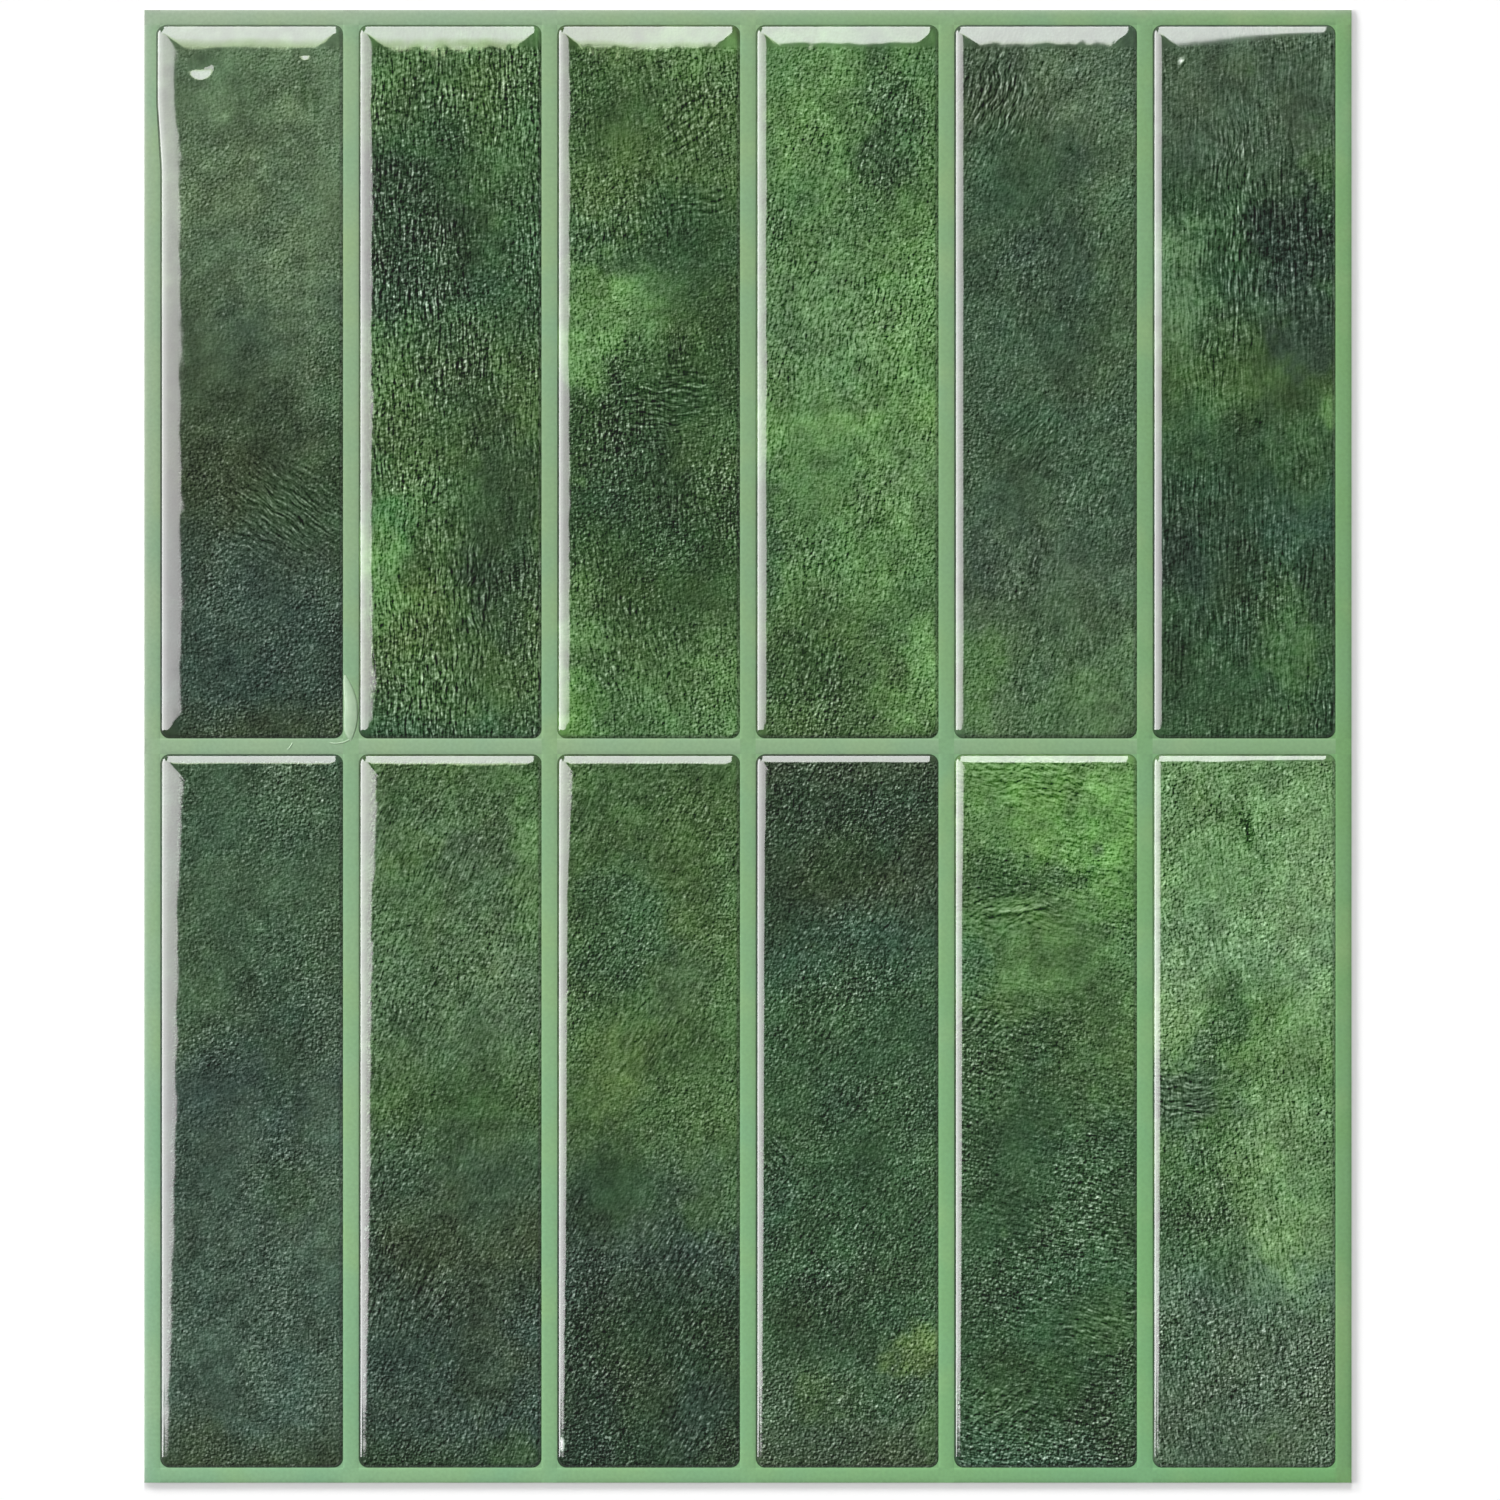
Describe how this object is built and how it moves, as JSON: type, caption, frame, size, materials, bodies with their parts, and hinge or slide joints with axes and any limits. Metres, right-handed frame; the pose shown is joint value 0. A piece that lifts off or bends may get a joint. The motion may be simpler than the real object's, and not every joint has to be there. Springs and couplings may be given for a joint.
{
  "type": "peel and stick backsplash tile",
  "caption": "Rectangular self-adhesive backsplash sheet with two rows of tall domed gel tiles in mottled green over a pale green printed film, on its release liner.",
  "frame": {"origin": "middle of the release liner's underside, which is the middle of the sheet's back", "axes": "+X to the right across the sheet, +Y up the sheet along its longer side, +Z out of the back through the gel face"},
  "size_m": [0.25, 0.305, 0.002],
  "materials": {
    "gel": "gloss",
    "film": "satin",
    "adhesive": "satin",
    "liner": "satin"
  },
  "bodies": {
    "root": {"release_liner": "liner", "adhesive_layer": "adhesive", "printed_film": "film", "gel_tile_r1_c1": "gel", "gel_tile_r1_c2": "gel", "gel_tile_r1_c3": "gel", "gel_tile_r1_c4": "gel", "gel_tile_r1_c5": "gel", "gel_tile_r1_c6": "gel", "gel_tile_r2_c1": "gel", "gel_tile_r2_c2": "gel", "gel_tile_r2_c3": "gel", "gel_tile_r2_c4": "gel", "gel_tile_r2_c5": "gel", "gel_tile_r2_c6": "gel"}
  },
  "joints": []
}
